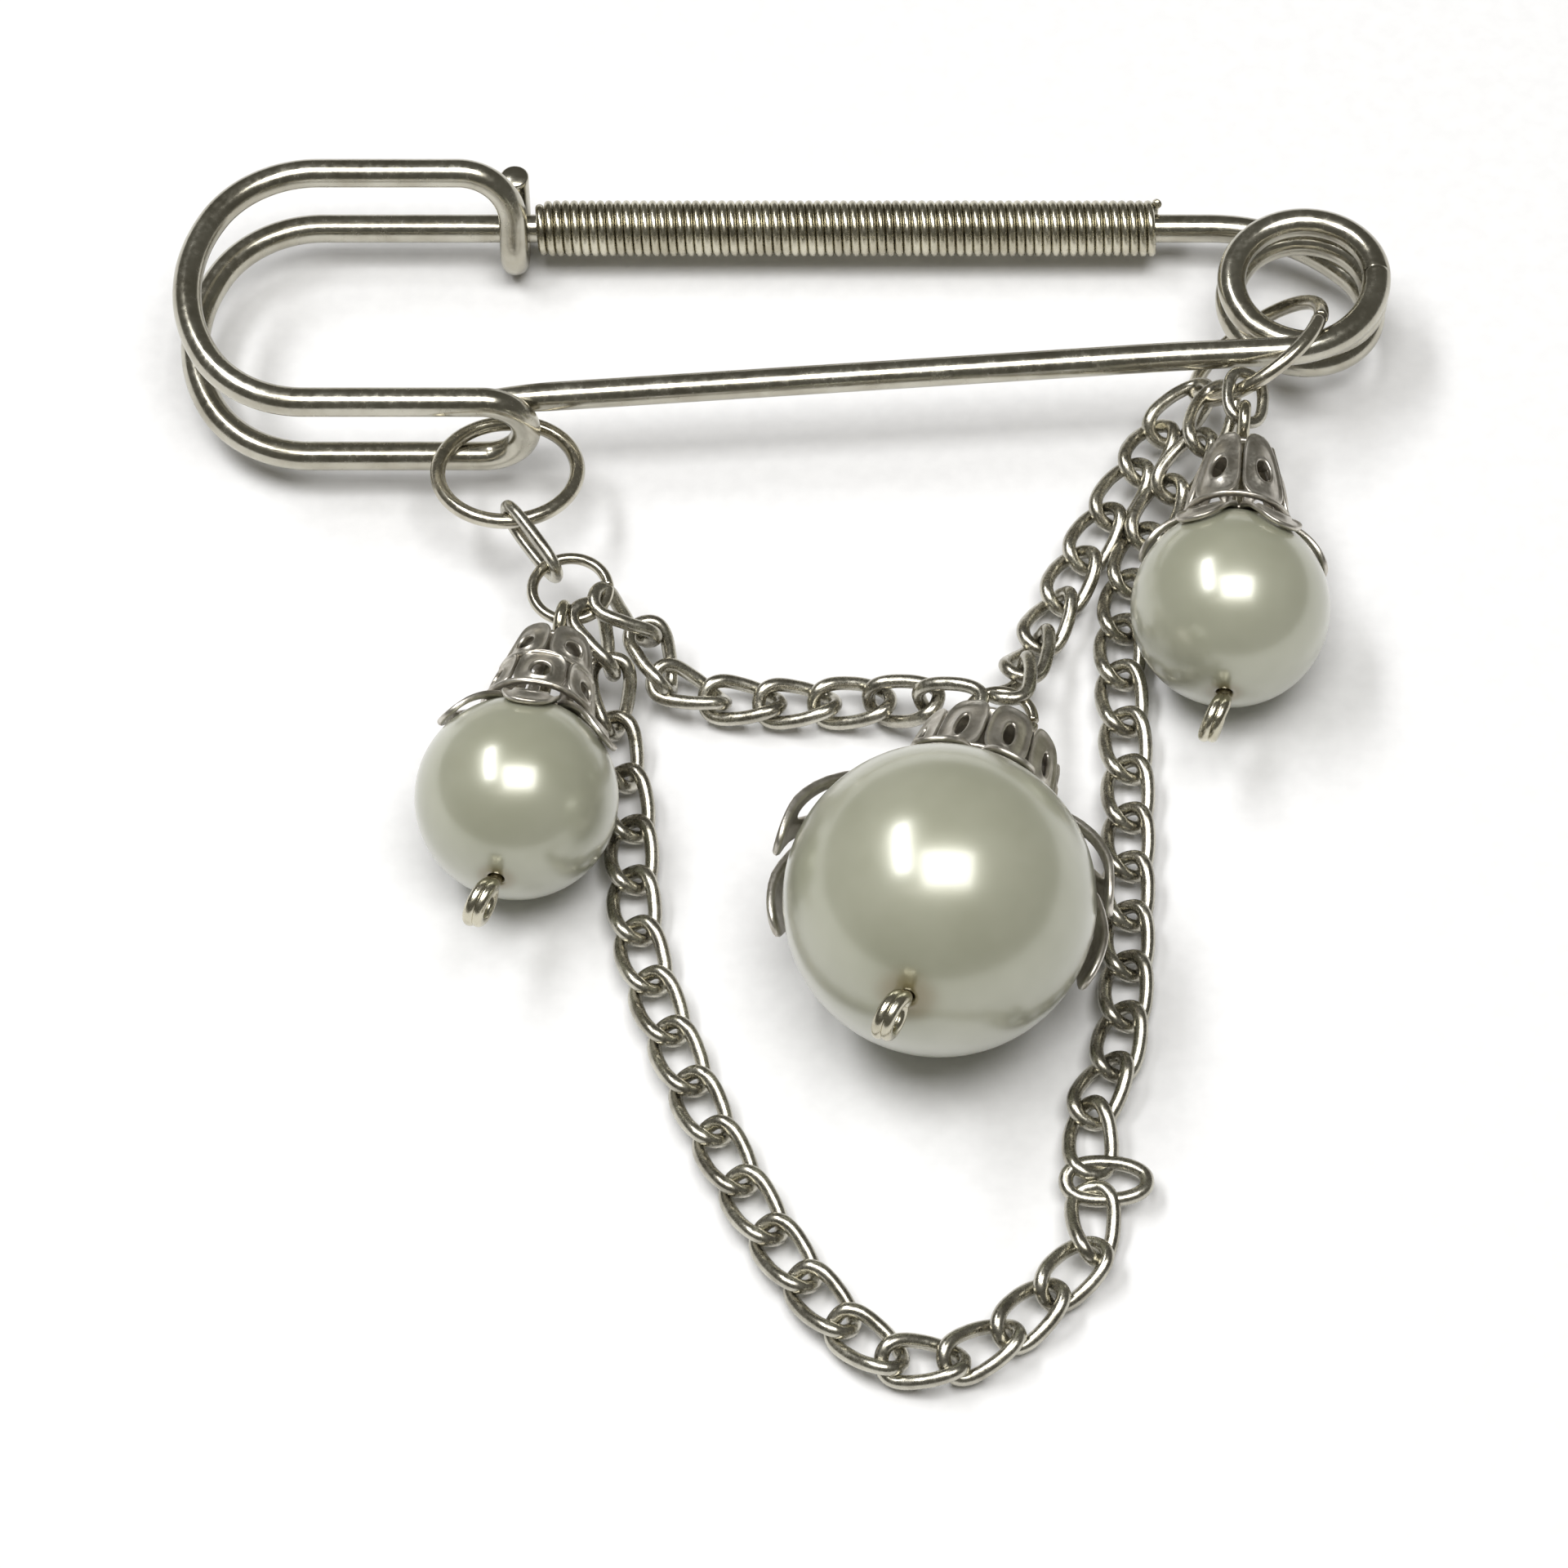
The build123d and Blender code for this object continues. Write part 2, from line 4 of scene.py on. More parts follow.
import bmesh
import bpy
import numpy as np
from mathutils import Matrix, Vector


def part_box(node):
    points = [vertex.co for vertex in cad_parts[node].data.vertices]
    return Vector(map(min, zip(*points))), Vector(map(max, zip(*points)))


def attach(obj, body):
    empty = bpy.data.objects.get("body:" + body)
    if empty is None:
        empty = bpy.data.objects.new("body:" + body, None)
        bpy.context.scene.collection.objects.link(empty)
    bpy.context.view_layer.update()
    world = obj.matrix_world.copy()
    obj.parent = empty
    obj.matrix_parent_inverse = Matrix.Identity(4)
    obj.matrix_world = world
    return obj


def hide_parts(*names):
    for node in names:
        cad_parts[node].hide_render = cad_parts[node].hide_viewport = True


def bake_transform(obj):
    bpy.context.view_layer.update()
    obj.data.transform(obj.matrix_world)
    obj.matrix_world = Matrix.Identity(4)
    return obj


# Kilt-pin brooch with three imitation pearls and curb chains. Blender works in metres;
# the sizes below are in millimetres, and MM turns them into metres.
MM = 0.001

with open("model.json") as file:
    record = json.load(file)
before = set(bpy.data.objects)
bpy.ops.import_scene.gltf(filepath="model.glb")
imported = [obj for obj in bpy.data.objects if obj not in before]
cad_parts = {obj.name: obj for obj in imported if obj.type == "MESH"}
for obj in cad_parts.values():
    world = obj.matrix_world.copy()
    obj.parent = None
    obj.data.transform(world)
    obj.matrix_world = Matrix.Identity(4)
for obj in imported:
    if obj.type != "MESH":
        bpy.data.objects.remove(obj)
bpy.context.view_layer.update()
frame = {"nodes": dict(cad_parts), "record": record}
record = frame["record"]

# The CAD's layout lines sit at this offset from the row frame, in millimetres.
TO_FRAME = Vector((0, -0.449, 0.032))

# Pin wire, the same driving sizes as the CAD.
WIRE = 1.8
PIN_LENGTH = 76.0
BAR_Y = 39.5
BAR_Z = 3.0
CATCH_HEIGHT = 18.1
CATCH_DEPTH = 5.5
CATCH_CORNER_R = 7.2
CATCH_SIDE_R = 11.0
NOSE_X = -15.9
WRAP_X = -17.2
WRAP_R = 2.1
WRAP_BEND_R = 3.4
WRAP_TAIL = 2.6
COIL_X = 32.6
COIL_Y = 32.6
COIL_R = 4.5
COIL_PITCH = 1.86
COIL_TURNS = 2
COIL_LIFT = 0.28
SPRING_LAP = 0.006
BAR_LEAD_ANGLE = 48.0
ROOT_R = 6.3
ROOT_RISE = 0.26
NEEDLE_SLOPE = 3.6
NEEDLE_DROP = 1.3
ROOT_RUN = 7.2
NEEDLE_LENGTH = 46.0
POINT_LENGTH = 7.5
POINT_R = 0.2

# Wound sleeve.
SLEEVE_START_X = -15.9
SLEEVE_WIRE = 0.55
SLEEVE_PITCH = 0.556
SLEEVE_TURNS = 72
SLEEVE_MEAN_R = 1.525

# Curb links: superellipse ovals whose ends lean opposite ways. A run's links turn from its end
# roll to flat over a few links; the kink link lies across the chain between two runs.
LINK_SQUARENESS = 2.3
LINK_TWIST = -0.52
LINK_LEAN = -41.0
LINK_FULLER = 0.1
KINK_TWIST = -0.12
KINK_LINK = 20
TWIST_LINKS = 3
KINK_ROLL = 16.0

# Drops. Heights along a drop are measured from the pearl's centre. A petal is the angle it
# stands at round the drop, its reach from the drop's axis and how far it stands off the pearl.
# A crown's tier is its span, its radii low, middle and high, its plates and their phase.
PEARL_HOLE_R = 0.46
STAIN_SPREAD = 11.0
PIN_R = 0.4
EYE_R = 1.15
EYE_STAND_OFF = 0.15
EYE_SLANT = 0.3
EYE_SPREAD = 0.42
LOW_EYE_TURN = 620
HIGH_EYE_FROM = -58
HIGH_EYE_TURN = 318
CROSSING = 0.12
CAP_GAP = 0.12
LEFT_PETALS = [(around, 64, 0.12) for around in range(30, 390, 60)]
RIGHT_PETALS = [(around, 62, 0.12) for around in range(0, 360, 60)]
LARGE_PETALS = [
    (22, 92, 0.75), (67, 88, 0.0), (112, 84, 0.0), (159, 99, 0.95), (187, 90, 0.85),
    (247, 46, 0.15), (292, 46, 0.15), (355, 82, 0.65),
]
DROPS = {
    "left": dict(
        eye_at=13.3, petals=LEFT_PETALS, slot=0.36, petal_width=2.6,
        tiers=[((6.0, 9.1), (3.3, 3.0, 2.7), 6, 0.5), ((8.6, 11.7), (2.75, 2.4, 2.05), 5, 0.25)],
    ),
    "right": dict(
        eye_at=13.3, petals=RIGHT_PETALS, slot=0.36, petal_width=2.6,
        tiers=[((6.0, 11.6), (3.15, 2.6, 1.75), 6, 0.0)],
    ),
    "centre": dict(
        eye_at=14.7, petals=LARGE_PETALS, slot=0.24, petal_width=2.7,
        tiers=[((8.5, 13.9), (4.7, 4.5, 4.15), 10, 0.0)],
    ),
}

# Camera: straight on, looking down at the brooch from the front.
CAMERA_TARGET = Vector((0, -0.0014, 0.00003))
CAMERA_ELEVATION = 57.0
CAMERA_DISTANCE = 0.312
CAMERA_LENS = 118.9
CAMERA_SENSOR = 36.0

# Stage, in metres: half the card's side, and each softbox's place, size, power and colour.
FLOOR_HALF = 3.0
SOFTBOXES = {
    "narrow_softbox": ((-0.52, 0.2, 1.0), (0.24, 0.78), 8.0, (1.0, 1.0, 1.0)),
    "wide_softbox": ((0.09, -0.17, 1.0), (0.66, 0.48), 8.0, (1.0, 0.995, 0.98)),
    "thin_strip": ((-0.05, -0.48, 1.0), (1.0, 0.03), 0.35, (1.0, 0.95, 0.85)),
}
ROOM_COLOUR = (0.122, 0.118, 0.102, 1)


# ---------------------------------------------------------------- materials


def new_material(name):
    """A node material with its Principled shader, and a shortcut that adds nodes to it."""
    material = bpy.data.materials.new(name)
    material.use_nodes = True
    tree = material.node_tree
    shader = tree.nodes["Principled BSDF"]

    def node(kind, **values):
        made = tree.nodes.new(kind)
        for key, value in values.items():
            if key in made.inputs:
                made.inputs[key].default_value = value
            else:
                setattr(made, key, value)
        return made

    return material, tree, shader, node


def colour_ramp(node, low, high, low_at=0.35, high_at=0.65):
    """A two-colour ramp node."""
    ramp = node("ShaderNodeValToRGB")
    ramp.color_ramp.elements[0].position = low_at
    ramp.color_ramp.elements[0].color = (*low, 1)
    ramp.color_ramp.elements[1].position = high_at
    ramp.color_ramp.elements[1].color = (*high, 1)
    return ramp


def metal(name, bright, dull, roughness=(0.14, 0.3), patch=450.0, bump=0.12, seed=0.0):
    """Plated wire or stamped metal: cloudy tarnish, uneven polish and fine handling marks."""
    material, tree, shader, node = new_material(name)
    link = tree.links.new
    place = node("ShaderNodeTexCoord")
    shift = node("ShaderNodeMapping")
    shift.inputs["Location"].default_value = (seed, seed * 0.7, seed * 1.3)
    link(place.outputs["Object"], shift.inputs["Vector"])
    cloud = node("ShaderNodeTexNoise", Scale=patch, Detail=4.0, Roughness=0.6)
    link(shift.outputs["Vector"], cloud.inputs["Vector"])
    ramp = colour_ramp(node, dull, bright, 0.36, 0.6)
    link(cloud.outputs["Fac"], ramp.inputs["Fac"])
    link(ramp.outputs["Color"], shader.inputs["Base Color"])
    fine = node("ShaderNodeTexNoise", Scale=patch * 7, Detail=3.0, Roughness=0.7)
    link(shift.outputs["Vector"], fine.inputs["Vector"])
    polish = node("ShaderNodeMapRange")
    polish.inputs["From Min"].default_value = 0.3
    polish.inputs["From Max"].default_value = 0.7
    polish.inputs["To Min"].default_value = roughness[0]
    polish.inputs["To Max"].default_value = roughness[1]
    link(fine.outputs["Fac"], polish.inputs["Value"])
    link(polish.outputs["Result"], shader.inputs["Roughness"])
    marks = node("ShaderNodeBump", Strength=bump, Distance=0.00004)
    link(fine.outputs["Fac"], marks.inputs["Height"])
    link(marks.outputs["Normal"], shader.inputs["Normal"])
    shader.inputs["Metallic"].default_value = 1.0
    return material


def pearl_material():
    """Imitation pearl: cream body, faint cloudy banding and a deep glossy coat."""
    material, tree, shader, node = new_material("pearl_lacquer")
    link = tree.links.new
    place = node("ShaderNodeTexCoord")
    cloud = node("ShaderNodeTexNoise", Scale=160.0, Detail=3.0, Roughness=0.5)
    link(place.outputs["Object"], cloud.inputs["Vector"])
    ramp = colour_ramp(node, (0.335, 0.34, 0.25), (0.42, 0.426, 0.332), 0.3, 0.7)
    link(cloud.outputs["Fac"], ramp.inputs["Fac"])
    near_hole = node("ShaderNodeAttribute", attribute_name="near_hole")
    stain = node("ShaderNodeMix", data_type="RGBA")
    stain.inputs["B"].default_value = (0.2, 0.165, 0.075, 1)
    link(near_hole.outputs["Fac"], stain.inputs["Factor"])
    link(ramp.outputs["Color"], stain.inputs["A"])
    link(stain.outputs["Result"], shader.inputs["Base Color"])
    fine = node("ShaderNodeTexNoise", Scale=1400.0, Detail=2.0)
    link(place.outputs["Object"], fine.inputs["Vector"])
    skin = node("ShaderNodeBump", Strength=0.05, Distance=0.00005)
    link(fine.outputs["Fac"], skin.inputs["Height"])
    link(skin.outputs["Normal"], shader.inputs["Normal"])
    shader.inputs["Roughness"].default_value = 0.3
    shader.inputs["Metallic"].default_value = 0.2
    shader.inputs["IOR"].default_value = 1.8
    shader.inputs["Subsurface Weight"].default_value = 0.12
    shader.inputs["Subsurface Radius"].default_value = (1.0, 0.9, 0.7)
    shader.inputs["Subsurface Scale"].default_value = 0.0015
    shader.inputs["Coat Weight"].default_value = 0.75
    shader.inputs["Coat Roughness"].default_value = 0.17
    shader.inputs["Coat IOR"].default_value = 1.65
    return material


def floor_material():
    """Plain pale card with a hardly visible grain."""
    material, tree, shader, node = new_material("pale_card")
    link = tree.links.new
    place = node("ShaderNodeTexCoord")
    grain = node("ShaderNodeTexNoise", Scale=900.0, Detail=3.0)
    link(place.outputs["Object"], grain.inputs["Vector"])
    ramp = colour_ramp(node, (0.8, 0.8, 0.81), (0.83, 0.83, 0.84))
    link(grain.outputs["Fac"], ramp.inputs["Fac"])
    link(ramp.outputs["Color"], shader.inputs["Base Color"])
    shader.inputs["Roughness"].default_value = 0.8
    return material


MATERIALS = {
    "pin_wire": metal("nickel_pin_wire", (0.53, 0.51, 0.435), (0.41, 0.385, 0.315), patch=260.0),
    "sleeve_wire": metal(
        "nickel_sleeve_wire", (0.6, 0.57, 0.46), (0.42, 0.39, 0.3), (0.18, 0.34), seed=0.31
    ),
    "ring_wire": metal("nickel_ring_wire", (0.58, 0.55, 0.46), (0.4, 0.37, 0.3), seed=0.57),
    "chain_metal": metal(
        "nickel_chain", (0.55, 0.53, 0.455), (0.36, 0.34, 0.285), (0.18, 0.36), 520.0, seed=0.83
    ),
    "cap_metal": metal(
        "nickel_filigree", (0.68, 0.65, 0.59), (0.47, 0.44, 0.38), (0.28, 0.46), 700.0, 0.3, 0.19
    ),
    "eye_pin_wire": metal("nickel_eye_pin", (0.6, 0.57, 0.46), (0.4, 0.37, 0.28), seed=0.45),
    "pearl": pearl_material(),
}


# ---------------------------------------------------------------- mesh tools


def make_piece(name, verts, faces, body, slot, *nodes):
    """A smooth mesh piece that rides on a body, takes a slot's finish and stands for CAD nodes."""
    mesh = bpy.data.meshes.new(name)
    mesh.from_pydata([tuple(v) for v in verts], [], faces)
    mesh.validate()
    mesh.polygons.foreach_set("use_smooth", [True] * len(mesh.polygons))
    mesh.materials.append(MATERIALS[slot])
    mesh.update()
    piece = bpy.data.objects.new(name, mesh)
    bpy.context.scene.collection.objects.link(piece)
    fix = bmesh.new()
    fix.from_mesh(mesh)
    bmesh.ops.recalc_face_normals(fix, faces=fix.faces)
    fix.to_mesh(mesh)
    fix.free()
    if body:
        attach(piece, body)
    if nodes:
        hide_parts(*nodes)
    return piece


def join_parts(parts):
    """Several (verts, faces) as one."""
    verts, faces = [], []
    for part_verts, part_faces in parts:
        start = len(verts)
        verts.extend(part_verts)
        faces.extend([tuple(start + i for i in face) for face in part_faces])
    return verts, faces


def unit(v):
    """Row-wise unit vectors."""
    v = np.asarray(v, float)
    return v / np.linalg.norm(v, axis=-1, keepdims=True)


def wire_mesh(points, radius, closed=False, sides=20, radii=None, cut=(True, True)):
    """Round wire along points. A cut end is flat with a slightly broken edge."""
    points = np.asarray(points, float)
    count = len(points)
    if closed:
        tangents = unit(np.roll(points, -1, 0) - np.roll(points, 1, 0))
    else:
        tangents = unit(np.gradient(points, axis=0))
    radii = np.full(count, radius) if radii is None else np.asarray(radii, float)
    side = np.cross(tangents[0], (0, 0, 1))
    if np.linalg.norm(side) < 0.1:
        side = np.cross(tangents[0], (0, 1, 0))
    side = unit(side)
    sides_at = [side]
    for i in range(1, count):
        side = side - tangents[i] * (side @ tangents[i])
        side = unit(side)
        sides_at.append(side)
    sides_at = np.array(sides_at)
    ups = np.cross(tangents, sides_at)
    if closed:
        last = sides_at[-1] - tangents[0] * (sides_at[-1] @ tangents[0])
        drift = atan2(last @ ups[0], last @ sides_at[0])
        turn = -drift * np.arange(count) / count
        cos_turn, sin_turn = np.cos(turn)[:, None], np.sin(turn)[:, None]
        sides_at, ups = sides_at * cos_turn + ups * sin_turn, ups * cos_turn - sides_at * sin_turn
    else:
        edge = min(0.12 * radius, 0.3 * radii[0]) if cut[0] else 0.02
        end_edge = min(0.12 * radius, 0.3 * radii[-1]) if cut[1] else 0.02
        points = np.vstack(
            [points[0] - tangents[0] * edge, points, points[-1] + tangents[-1] * end_edge]
        )
        sides_at = np.vstack([sides_at[0], sides_at, sides_at[-1]])
        ups = np.vstack([ups[0], ups, ups[-1]])
        radii = np.hstack([radii[0] - edge, radii, radii[-1] - end_edge])
        count += 2
    angles = np.arange(sides) * 2 * pi / sides
    ring = np.cos(angles)[None, :, None] * sides_at[:, None, :]
    ring = ring + np.sin(angles)[None, :, None] * ups[:, None, :]
    verts = (points[:, None, :] + ring * radii[:, None, None]).reshape(-1, 3)
    faces = []
    for i in range(count if closed else count - 1):
        j = (i + 1) % count
        for k in range(sides):
            m = (k + 1) % sides
            faces.append((i * sides + k, i * sides + m, j * sides + m, j * sides + k))
    if not closed:
        faces.append(tuple(range(sides)))
        faces.append(tuple((count - 1) * sides + k for k in range(sides)))
    return list(verts * MM), faces


def lathe(profile, plane, sides=64, closed=True):
    """Profile of (radius, height) pairs turned round a plane's Z."""
    origin, x_dir, y_dir, z_dir = plane
    verts, faces = [], []
    for radius, height in profile:
        for k in range(sides):
            angle = 2 * pi * k / sides
            spoke = x_dir * cos(angle) + y_dir * sin(angle)
            verts.append((origin + spoke * radius + z_dir * height) * MM)
    rings = len(profile)
    for i in range(rings if closed else rings - 1):
        j = (i + 1) % rings
        for k in range(sides):
            m = (k + 1) % sides
            faces.append((i * sides + k, i * sides + m, j * sides + m, j * sides + k))
    return verts, faces


class WirePath:
    """Points along straight runs and tangent arcs, each going on from the last one."""

    def __init__(self, start, way, step=0.25):
        self.points = [np.array(start, float)]
        self.way = unit(way)
        self.step = step

    def line(self, end):
        start = self.points[-1]
        end = np.array(end, float)
        count = max(2, int(np.linalg.norm(end - start) / self.step))
        self.points.extend(start + (end - start) * i / count for i in range(1, count + 1))
        self.way = unit(end - start)
        return self

    def arc(self, end):
        start = self.points[-1]
        chord = np.array(end, float) - start
        along = chord @ self.way
        inward = chord - self.way * along
        across = np.linalg.norm(inward)
        inward = inward / across
        radius = (chord @ chord) / (2 * across)
        turn = 2 * atan2(across, along)
        count = max(6, int(radius * turn / self.step))
        way = self.way
        for i in range(1, count + 1):
            angle = turn * i / count
            self.points.append(
                start + way * radius * sin(angle) + inward * radius * (1 - cos(angle))
            )
        self.way = way * cos(turn) + inward * sin(turn)
        return self

    def placed(self):
        """The points in the row frame."""
        return np.array(self.points) + np.array(TO_FRAME)


# ---------------------------------------------------------------- the pin


def oval_points(height_z):
    """Where the catch's oval passes from one arc or line to the next."""
    half = CATCH_HEIGHT / 2
    centre_y = BAR_Y - half
    reach = half - CATCH_CORNER_R
    swing = asin(reach / (CATCH_SIDE_R - CATCH_CORNER_R))
    side_x = -PIN_LENGTH / 2 + WIRE / 2 + CATCH_SIDE_R
    corner_x = side_x - (CATCH_SIDE_R - CATCH_CORNER_R) * cos(swing)
    join_x = side_x - CATCH_SIDE_R * cos(swing)
    join_y = CATCH_SIDE_R * sin(swing)
    top = (corner_x, BAR_Y, height_z)
    upper_join = (join_x, centre_y + join_y, height_z)
    lower_join = (join_x, centre_y - join_y, height_z)
    bottom = (corner_x, BAR_Y - CATCH_HEIGHT, height_z)
    return top, upper_join, lower_join, bottom


def build_bar_and_catch():
    """Bar, rear loop, nose, front loop and the wrap, as one wire."""
    rise = BAR_Y - COIL_Y
    lead = radians(BAR_LEAD_ANGLE)
    lead_r = (rise - COIL_R * cos(lead)) / (1 - cos(lead))
    coil_side = np.array((COIL_X + COIL_R, COIL_Y, BAR_Z + COIL_LIFT))
    coil_leave = np.array((COIL_X + COIL_R * sin(lead), COIL_Y + COIL_R * cos(lead), BAR_Z))
    bar_end = (coil_leave[0] - lead_r * sin(lead), BAR_Y, BAR_Z)
    rear = oval_points(BAR_Z)
    front_z = BAR_Z + CATCH_DEPTH
    front = oval_points(front_z)
    nose_x = NOSE_X - CATCH_DEPTH / 2
    low_y = BAR_Y - CATCH_HEIGHT
    slant = asin(WRAP_R / CATCH_DEPTH)
    down = np.array((0, -sin(slant), -cos(slant)))
    run = WRAP_R * cos(slant) / sin(slant) - WRAP_BEND_R
    bend_start = np.array((WRAP_X - WRAP_BEND_R, BAR_Y, front_z))
    bend_end = bend_start + np.array((WRAP_BEND_R, 0, 0)) + down * WRAP_BEND_R
    loop_start = bend_end + down * run
    loop_under = np.array((WRAP_X, BAR_Y, BAR_Z - WRAP_R))
    loop_back = np.array((WRAP_X, BAR_Y + WRAP_R, BAR_Z))
    lead_in = WirePath(coil_leave, (cos(lead), -sin(lead), 0)).arc(coil_side)
    path = WirePath(coil_leave, (-cos(lead), sin(lead), 0))
    path.arc(bar_end).line(rear[0])
    path.arc(rear[1]).arc(rear[2]).arc(rear[3])
    path.line((nose_x, low_y, BAR_Z)).arc((nose_x, low_y, front_z)).line(front[3])
    path.arc(front[2]).arc(front[1]).arc(front[0]).line(bend_start)
    path.arc(bend_end).line(loop_start).arc(loop_under).arc(loop_back)
    path.line(loop_back + np.array((0, 0, WRAP_TAIL)))
    points = np.vstack([lead_in.placed()[:0:-1], path.placed()])
    verts, faces = wire_mesh(points, WIRE / 2, sides=28, cut=(False, True))
    make_piece("bar_and_catch_wire", verts, faces, "pin_frame", "pin_wire", "bar_and_catch")


def build_spring():
    """The closed turns of the coil, between the pin and the needle."""
    turns = np.linspace(-SPRING_LAP, COIL_TURNS + SPRING_LAP, COIL_TURNS * 96 + 1)
    angles = -2 * pi * turns
    points = np.stack(
        [
            COIL_X + COIL_R * np.cos(angles),
            COIL_Y + COIL_R * np.sin(angles),
            BAR_Z + COIL_LIFT + COIL_PITCH * np.clip(turns, 0, COIL_TURNS),
        ],
        axis=1,
    ) + np.array(TO_FRAME)
    radii = np.full(len(points), WIRE / 2)
    radii[:1] -= 0.02
    radii[-1:] -= 0.02
    verts, faces = wire_mesh(points, WIRE / 2, sides=28, radii=radii, cut=(False, False))
    spring = make_piece("spring_turns", verts, faces, None, "pin_wire", "spring_coil")
    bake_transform(spring)


def build_needle():
    """Last quarter turn of the coil, shank and ground point, as one wire."""
    root_z = BAR_Z + COIL_LIFT + COIL_PITCH * COIL_TURNS
    slope = radians(NEEDLE_SLOPE)
    drop = radians(NEEDLE_DROP)
    turn = pi / 2 - slope
    start = np.array((COIL_X + COIL_R, COIL_Y, root_z))
    centre = start - np.array((ROOT_R, 0, 0))
    path = WirePath(start, (0, -1, 0))
    for i in range(1, 41):
        angle = turn * i / 40
        rise = ROOT_RISE * (1 - cos(pi * i / 40)) / 2
        path.points.append(
            centre + np.array((ROOT_R * cos(angle), -ROOT_R * sin(angle), rise))
        )
    flat = np.array((-cos(slope), -sin(slope), 0))
    along = np.array((-cos(slope) * cos(drop), -sin(slope) * cos(drop), -sin(drop)))
    path.line(path.points[-1] + flat * ROOT_RUN)
    path.line(path.points[-1] + along * NEEDLE_LENGTH)
    points = path.placed()
    tip = points[-1]
    left = np.linalg.norm(points - tip, axis=1)
    ground = np.clip(left / POINT_LENGTH, 0, 1)
    radii = POINT_R + (WIRE / 2 - POINT_R) * (1 - (1 - ground) ** 1.6)
    radii[-1] = POINT_R * 0.7
    verts, faces = wire_mesh(points, WIRE / 2, sides=28, radii=radii, cut=(False, True))
    make_piece("needle_wire", verts, faces, "needle", "pin_wire", "needle_root", "needle")


def build_sleeve():
    """Fine wire wound tight round the bar, with its cut ends left proud."""
    steps = 22
    turns = np.linspace(0, SLEEVE_TURNS - 1, (SLEEVE_TURNS - 1) * steps + 1)
    radius = np.full(len(turns), SLEEVE_MEAN_R)
    first = np.clip(1 - turns / 1.2, 0, 1)
    last = np.clip(1 - (turns[-1] - turns) / 0.35, 0, 1)
    radius = radius - 0.12 * first + 0.12 * last
    angles = 2 * pi * turns + pi / 3
    points = np.stack(
        [
            SLEEVE_START_X + SLEEVE_PITCH * (turns + 0.5),
            BAR_Y + radius * np.cos(angles),
            BAR_Z + radius * np.sin(angles),
        ],
        axis=1,
    ) + np.array(TO_FRAME)
    verts, faces = wire_mesh(points, SLEEVE_WIRE / 2, sides=12)
    make_piece("sleeve_winding", verts, faces, "sleeve", "sleeve_wire", "wound_sleeve")


# ---------------------------------------------------------------- rings and chains


def loose_parts(node):
    """The separate solids of a CAD node, as arrays of points in millimetres."""
    mesh = bmesh.new()
    mesh.from_mesh(frame["nodes"][node].data)
    bmesh.ops.remove_doubles(mesh, verts=mesh.verts, dist=1e-7)
    parts, seen = [], set()
    for vert in mesh.verts:
        if vert.index in seen:
            continue
        seen.add(vert.index)
        group, waiting = [], [vert]
        while waiting:
            one = waiting.pop()
            group.append(tuple(one.co))
            for edge in one.link_edges:
                other = edge.other_vert(one)
                if other.index not in seen:
                    seen.add(other.index)
                    waiting.append(other)
        parts.append(np.array(group) / MM)
    mesh.free()
    return parts


def oval_of(points):
    """Centre, long way, normal, length, width and wire of a flat oval link's points."""
    mean = points.mean(0)
    _, _, axes = np.linalg.svd(points - mean, full_matrices=False)
    spans = (points - mean) @ axes.T
    low, high = spans.min(0), spans.max(0)
    centre = mean + ((low + high) / 2) @ axes
    sizes = high - low
    return centre, axes[0], axes[2], sizes[0], sizes[1], sizes[2]


def ring_of(points):
    """Centre, axis, wire-centre radius, wire and the way to the split of a ring's points."""
    mean = points.mean(0)
    _, _, axes = np.linalg.svd(points - mean, full_matrices=False)
    flat = (points - mean) @ axes[:2].T
    system = np.c_[2 * flat, np.ones(len(flat))]
    fit = np.linalg.lstsq(system, (flat**2).sum(1), rcond=None)[0]
    centre = mean + fit[:2] @ axes[:2]
    depth = (points - centre) @ axes[2]
    wire = depth.max() - depth.min()
    spokes = (points - centre) @ axes[:2].T
    radius = np.linalg.norm(spokes, axis=1).max() - wire / 2
    angles = np.sort(np.arctan2(spokes[:, 1], spokes[:, 0]))
    gaps = np.diff(np.append(angles, angles[0] + 2 * pi))
    split = angles[gaps.argmax()] + gaps.max() / 2
    return centre, axes, radius, wire, split, gaps.max()


def build_split_ring(node, body="swag"):
    """A jump ring bent from wire, its two cut ends facing across a fine split."""
    centre, axes, radius, wire, split, gap = ring_of(loose_parts(node)[0])
    gap = max(gap, 0.12 / radius)
    angles = np.linspace(split + gap / 2, split + 2 * pi - gap / 2, 120)
    points = centre + radius * (
        np.cos(angles)[:, None] * axes[0] + np.sin(angles)[:, None] * axes[1]
    )
    offset = np.linspace(1, -1, 120)[:, None] * 0.04 * axes[2]
    verts, faces = wire_mesh(points + offset, wire / 2, sides=24)
    make_piece(f"{node}_wire", verts, faces, body, "ring_wire", node)


